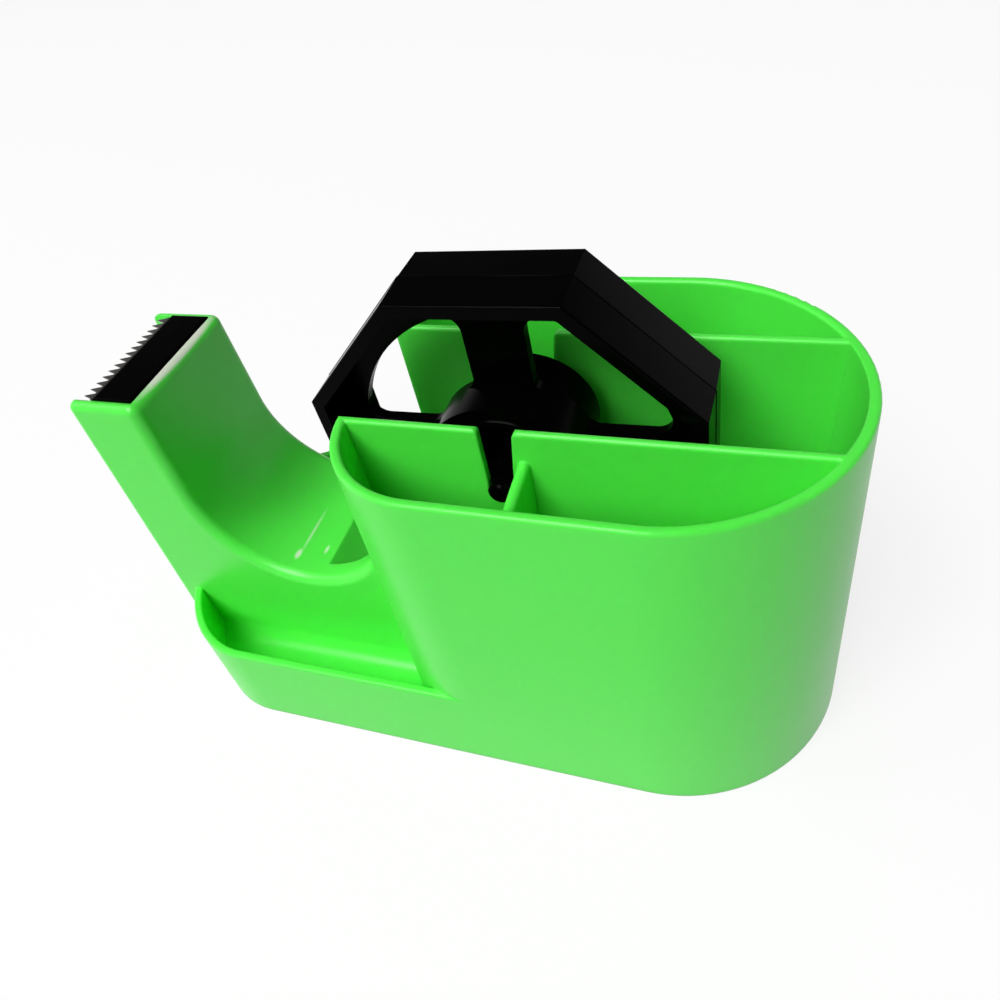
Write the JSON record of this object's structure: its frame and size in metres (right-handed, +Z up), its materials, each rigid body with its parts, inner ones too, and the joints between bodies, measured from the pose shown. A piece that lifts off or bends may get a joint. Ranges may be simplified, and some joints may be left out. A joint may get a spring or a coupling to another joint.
{
  "type": "desktop tape dispenser with pen cups and clip trays",
  "caption": "Weighted desk tape dispenser with a saw-tooth cutter, a lift-out reel and a divided pen cup and clip tray on each side.",
  "frame": {"origin": "on the ground, midway along and across the body", "axes": "+X along the length away from the nose and its cutter, +Y across towards the rear cup, +Z up"},
  "size_m": [0.1526, 0.07, 0.1005],
  "materials": {
    "green_gloss_plastic": "gloss",
    "black_gloss_plastic": "gloss",
    "black_matte_plastic": "fine texture",
    "steel_blade": "stamped",
    "cast_iron_weight": "as cast",
    "black_rubber": "matte"
  },
  "bodies": {
    "body": {"body_shell": "green_gloss_plastic", "base_plate": "black_matte_plastic", "nose_weight": "cast_iron_weight", "cutter_insert": "black_gloss_plastic", "cutter_blade": "steel_blade", "foot_pad_1": "black_rubber", "foot_pad_2": "black_rubber", "foot_pad_3": "black_rubber", "foot_pad_4": "black_rubber"},
    "axle": {"axle_pin": "black_gloss_plastic"},
    "reel": {"core_spool": "black_gloss_plastic", "tape_drum": "black_gloss_plastic"}
  },
  "joints": [
    {"name": "axle_lift", "type": "slide", "parent": "body", "child": "axle", "axis": [0, 0, 1], "range_m": [0, 0.055]},
    {"name": "reel_spin", "type": "hinge", "parent": "axle", "child": "reel", "pos_m": [0.0151, 0, 0.0655], "axis": [0, 1, 0], "continuous": true}
  ]
}
